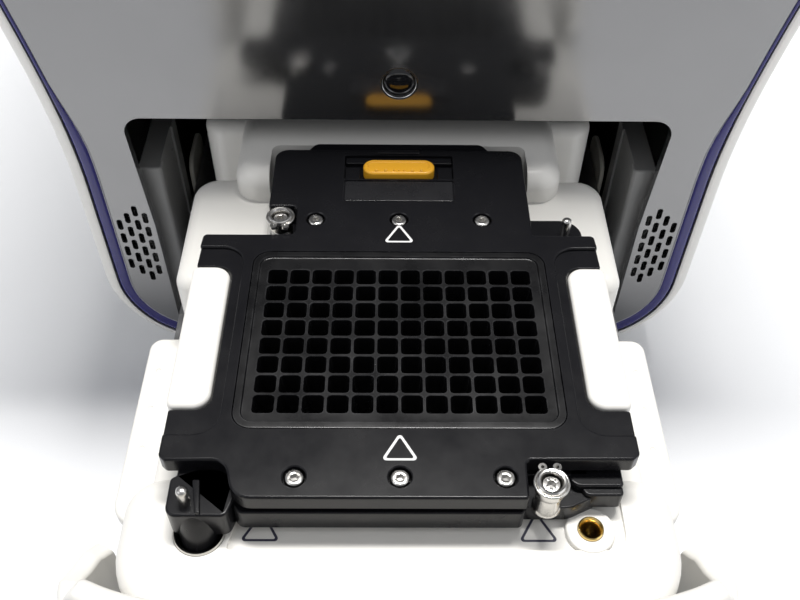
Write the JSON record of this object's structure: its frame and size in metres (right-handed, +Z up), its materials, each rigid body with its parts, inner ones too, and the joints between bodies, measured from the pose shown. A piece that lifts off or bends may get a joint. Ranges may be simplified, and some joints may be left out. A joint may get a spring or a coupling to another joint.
{
  "type": "thermal cycler",
  "caption": "Tower real-time thermal cycler with its sample drawer pulled out, showing the block of square wells, its release latch and the heated cover and optics inside.",
  "frame": {"origin": "on the bench, under the middle of the whole outline with the drawer open", "axes": "+Z up; -Y is the way the drawer comes out; +X is to the right of someone facing the front"},
  "size_m": [0.4, 0.877, 0.64],
  "materials": {
    "white": "fine satin moulding",
    "grey": "satin gloss moulding",
    "blue": "satin indigo moulding",
    "black": "fine matt moulding",
    "anodised": "black anodised",
    "orange": "satin",
    "glass": "polished dark glass",
    "rubber": "matt",
    "steel": "bright",
    "dark_metal": "matt powder coat",
    "aluminium": "satin",
    "brass": "turned",
    "board": "solder mask",
    "ceramic": "matt ceramic"
  },
  "bodies": {
    "instrument": {"shell_left": "white", "shell_right": "white", "top_cover": "white", "rear_panel": "white", "front_fascia": "grey", "post_left": "grey", "post_right": "grey", "accent_band": "blue", "fan_frame": "black", "power_inlet": "black", "camera_lens": "black", "touch_screen": "glass", "sensor_lens": "glass", "field_lens": "glass", "foot_1": "rubber", "foot_2": "rubber", "foot_3": "rubber", "foot_4": "rubber", "fan_guard": "steel", "port_block": "steel", "power_supply": "steel", "rail_left": "steel", "rail_right": "steel", "base_pan": "white", "chassis": "dark_metal", "camera_body": "dark_metal", "drive_motor": "dark_metal", "optics_frame": "aluminium", "lamp_module": "aluminium", "main_board": "board"},
    "drawer": {"drawer_tray": "white", "drawer_deck": "white", "drawer_front": "white", "runner_left": "steel", "runner_right": "steel", "drive_rack": "black", "guide_ring": "steel", "guide_bush": "brass"},
    "block_module": {"module_cover": "black", "module_base": "black", "sample_block": "anodised", "peltier_stack": "ceramic", "heat_sink": "aluminium", "module_screw_1": "steel", "module_screw_2": "steel", "module_screw_3": "steel", "module_screw_4": "steel", "module_screw_5": "steel", "module_screw_6": "steel"},
    "latch": {"release_latch": "orange"},
    "rear_screw": {"captive_screw_rear": "steel"},
    "front_screw": {"captive_screw_front": "steel"},
    "pinion": {"drive_pinion": "brass"},
    "heated_cover": {"heated_cover_frame": "black", "heated_cover_plate": "aluminium"},
    "lead_screw": {"cover_lead_screw": "steel"},
    "emission_filters": {"emission_wheel": "dark_metal"},
    "excitation_filters": {"excitation_wheel": "dark_metal"},
    "fan": {"fan_rotor": "black"},
    "switch": {"power_switch": "black"}
  },
  "joints": [
    {"name": "drawer_slide", "type": "slide", "parent": "instrument", "child": "drawer", "axis": [0, -1, 0], "range_m": [-0.19, 0]},
    {"name": "module_lift", "type": "slide", "parent": "drawer", "child": "block_module", "axis": [0, 0, 1], "range_m": [0, 0.06]},
    {"name": "latch_press", "type": "slide", "parent": "block_module", "child": "latch", "axis": [0, 1, 0], "range_m": [0, 0.003], "stiffness_N_per_m": 300},
    {"name": "rear_screw_turn", "type": "hinge", "parent": "block_module", "child": "rear_screw", "pos_m": [-0.0508, -0.2602, 0.165], "axis": [0, 0, 1], "range_deg": [0, 360]},
    {"name": "front_screw_turn", "type": "hinge", "parent": "block_module", "child": "front_screw", "pos_m": [0.0508, -0.3893, 0.165], "axis": [0, 0, 1], "range_deg": [0, 360]},
    {"name": "pinion_turn", "type": "hinge", "parent": "instrument", "child": "pinion", "pos_m": [0.064, -0.1735, 0.0805], "axis": [1, 0, 0], "range_deg": [-910, 0]},
    {"name": "heated_cover_lift", "type": "slide", "parent": "instrument", "child": "heated_cover", "axis": [0, 0, 1], "range_m": [0, 0.012]},
    {"name": "lead_screw_turn", "type": "hinge", "parent": "instrument", "child": "lead_screw", "pos_m": [0.082, -0.1335, 0.22], "axis": [0, 0, 1], "range_deg": [0, 1082]},
    {"name": "emission_wheel_turn", "type": "hinge", "parent": "instrument", "child": "emission_filters", "pos_m": [-0.03, -0.1335, 0.405], "axis": [0, 0, 1], "continuous": true},
    {"name": "excitation_wheel_turn", "type": "hinge", "parent": "instrument", "child": "excitation_filters", "pos_m": [-0.03, -0.0535, 0.345], "axis": [0, 1, 0], "continuous": true},
    {"name": "fan_spin", "type": "hinge", "parent": "instrument", "child": "fan", "pos_m": [-0.085, 0.4165, 0.15], "axis": [0, 1, 0], "continuous": true},
    {"name": "switch_rock", "type": "hinge", "parent": "instrument", "child": "switch", "pos_m": [0.1, 0.4285, 0.082], "axis": [1, 0, 0], "range_deg": [0, 20]}
  ],
  "couplings": [
    {"joint": "pinion_turn", "follows": "drawer_slide", "rad_per_m": 83.333},
    {"joint": "lead_screw_turn", "follows": "heated_cover_lift", "rad_per_m": 1570.8}
  ]
}
